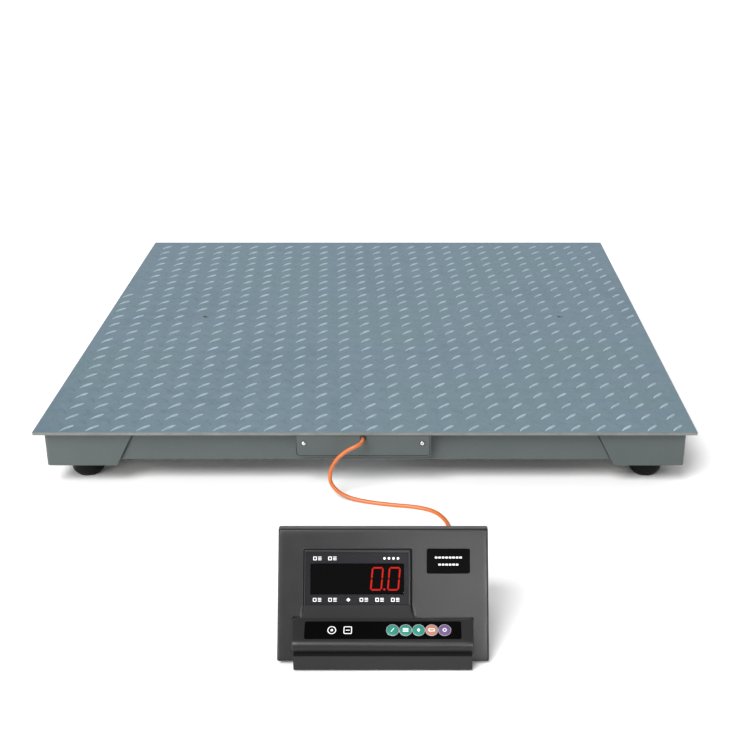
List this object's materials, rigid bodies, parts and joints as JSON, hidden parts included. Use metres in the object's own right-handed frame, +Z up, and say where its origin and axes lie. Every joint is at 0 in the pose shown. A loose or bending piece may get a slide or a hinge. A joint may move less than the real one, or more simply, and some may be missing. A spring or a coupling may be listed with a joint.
{
  "type": "pallet scale",
  "caption": "Low square floor-scale platform with tear-drop tread deck on load cells and levelling feet, wired by a cable to a desktop weight indicator with keypad.",
  "frame": {"origin": "middle of the whole object's footprint on the floor", "axes": "+Z up, -Y towards the operator's side with the indicator, +X to the operator's right"},
  "size_m": [1, 1.461, 0.1427],
  "materials": {
    "deck_paint": "blue-grey industrial enamel over tear-drop tread plate",
    "frame_paint": "grey-green industrial enamel, satin",
    "cell_steel": "nickel-plated alloy steel",
    "fastener_steel": "zinc-plated steel",
    "screw_chrome": "bright domed screw heads",
    "foot_rubber": "moulded black rubber over a steel cup",
    "small_rubber": "matt black rubber",
    "box_plastic": "grey moulded plastic",
    "gland_plastic": "black nylon",
    "board": "green circuit board",
    "lead_sheath": "black cable sheath",
    "cable_sheath": "orange PVC sheath, semi-gloss",
    "plug_metal": "matt anodised shell",
    "housing": "dark grey ABS, fine satin texture",
    "film": "dark printed film, low gloss",
    "window": "smoked acrylic pane",
    "digits": "red light-emitting segments in a black face",
    "label": "black label, satin",
    "key_green": "green domed key",
    "key_salmon": "salmon domed key",
    "key_purple": "purple domed key",
    "battery_case": "black battery case",
    "transformer_iron": "laminated core with a taped winding",
    "port_metal": "pressed nickel-plated shell",
    "fitting_black": "black nylon",
    "rocker": "glossy red rocker"
  },
  "bodies": {
    "root": {"battery": "battery_case", "cable_glands": "gland_plastic", "cable_grommet": "small_rubber", "corner_guard_front_left": "frame_paint", "corner_guard_front_right": "frame_paint", "corner_guard_rear_left": "frame_paint", "corner_guard_rear_right": "frame_paint", "cover_screws": "screw_chrome", "deck_plate": "deck_paint", "deck_ribs": "frame_paint", "display_board": "board", "display_film": "film", "display_window": "window", "foot_locknuts": "fastener_steel", "front_cover": "frame_paint", "housing_screws": "fastener_steel", "indicator_feet": "small_rubber", "inner_leads": "lead_sheath", "junction_box_base": "box_plastic", "junction_box_board": "board", "junction_box_lid": "box_plastic", "keypad_board": "board", "keypad_overlay": "label", "label_plate": "label", "led_digits": "digits", "lifting_nuts": "frame_paint", "load_cell_bolts": "fastener_steel", "load_cell_front_left": "cell_steel", "load_cell_front_right": "cell_steel", "load_cell_pads": "frame_paint", "load_cell_rear_left": "cell_steel", "load_cell_rear_right": "cell_steel", "lower_shell": "housing", "main_board": "board", "mains_inlet": "fitting_black", "power_switch_frame": "fitting_black", "serial_port": "port_metal", "side_channel_front": "frame_paint", "side_channel_left": "frame_paint", "side_channel_rear": "frame_paint", "side_channel_right": "frame_paint", "signal_cable": "cable_sheath", "signal_plug": "plug_metal", "signal_socket": "plug_metal", "transformer": "transformer_iron", "upper_shell": "housing"},
    "key_1_cap": {"key_1": "key_green"},
    "key_2_cap": {"key_2": "key_green"},
    "key_3_cap": {"key_3": "key_green"},
    "key_4_cap": {"key_4": "key_salmon"},
    "key_5_cap": {"key_5": "key_purple"},
    "rocker": {"power_rocker": "rocker"},
    "cup_front_left": {"foot_cup_front_left": "foot_rubber"},
    "stud_front_left": {"foot_stud_front_left": "fastener_steel"},
    "cup_front_right": {"foot_cup_front_right": "foot_rubber"},
    "stud_front_right": {"foot_stud_front_right": "fastener_steel"},
    "cup_rear_right": {"foot_cup_rear_right": "foot_rubber"},
    "stud_rear_right": {"foot_stud_rear_right": "fastener_steel"},
    "cup_rear_left": {"foot_cup_rear_left": "foot_rubber"},
    "stud_rear_left": {"foot_stud_rear_left": "fastener_steel"}
  },
  "joints": [
    {"name": "key_1_press", "type": "slide", "parent": "root", "child": "key_1_cap", "axis": [0, 0.4462, -0.8949], "range_m": [0, 0.0006], "stiffness_N_per_m": 2500},
    {"name": "key_2_press", "type": "slide", "parent": "root", "child": "key_2_cap", "axis": [0, 0.4462, -0.8949], "range_m": [0, 0.0006], "stiffness_N_per_m": 2500},
    {"name": "key_3_press", "type": "slide", "parent": "root", "child": "key_3_cap", "axis": [0, 0.4462, -0.8949], "range_m": [0, 0.0006], "stiffness_N_per_m": 2500},
    {"name": "key_4_press", "type": "slide", "parent": "root", "child": "key_4_cap", "axis": [0, 0.4462, -0.8949], "range_m": [0, 0.0006], "stiffness_N_per_m": 2500},
    {"name": "key_5_press", "type": "slide", "parent": "root", "child": "key_5_cap", "axis": [0, 0.4462, -0.8949], "range_m": [0, 0.0006], "stiffness_N_per_m": 2500},
    {"name": "rocker_tip", "type": "hinge", "parent": "root", "child": "rocker", "pos_m": [-0.005, -0.58, 0.034], "axis": [1, 0, 0], "range_deg": [-20, 0]},
    {"name": "foot_rise_front_left", "type": "slide", "parent": "root", "child": "cup_front_left", "axis": [0, 0, -1], "range_m": [-0.004, 0.012]},
    {"name": "stud_turn_front_left", "type": "hinge", "parent": "cup_front_left", "child": "stud_front_left", "pos_m": [-0.437, -0.2065, 0.05], "axis": [0, 0, -1], "range_deg": [-825, 2471]},
    {"name": "foot_rise_front_right", "type": "slide", "parent": "root", "child": "cup_front_right", "axis": [0, 0, -1], "range_m": [-0.004, 0.012]},
    {"name": "stud_turn_front_right", "type": "hinge", "parent": "cup_front_right", "child": "stud_front_right", "pos_m": [0.437, -0.2065, 0.05], "axis": [0, 0, -1], "range_deg": [-825, 2471]},
    {"name": "foot_rise_rear_right", "type": "slide", "parent": "root", "child": "cup_rear_right", "axis": [0, 0, -1], "range_m": [-0.004, 0.012]},
    {"name": "stud_turn_rear_right", "type": "hinge", "parent": "cup_rear_right", "child": "stud_rear_right", "pos_m": [0.437, 0.6675, 0.05], "axis": [0, 0, -1], "range_deg": [-825, 2471]},
    {"name": "foot_rise_rear_left", "type": "slide", "parent": "root", "child": "cup_rear_left", "axis": [0, 0, -1], "range_m": [-0.004, 0.012]},
    {"name": "stud_turn_rear_left", "type": "hinge", "parent": "cup_rear_left", "child": "stud_rear_left", "pos_m": [-0.437, 0.6675, 0.05], "axis": [0, 0, -1], "range_deg": [-825, 2471]}
  ],
  "couplings": [
    {"joint": "stud_turn_front_left", "follows": "foot_rise_front_left", "rad_per_m": 3590.4},
    {"joint": "stud_turn_front_right", "follows": "foot_rise_front_right", "rad_per_m": 3590.4},
    {"joint": "stud_turn_rear_right", "follows": "foot_rise_rear_right", "rad_per_m": 3590.4},
    {"joint": "stud_turn_rear_left", "follows": "foot_rise_rear_left", "rad_per_m": 3590.4}
  ]
}
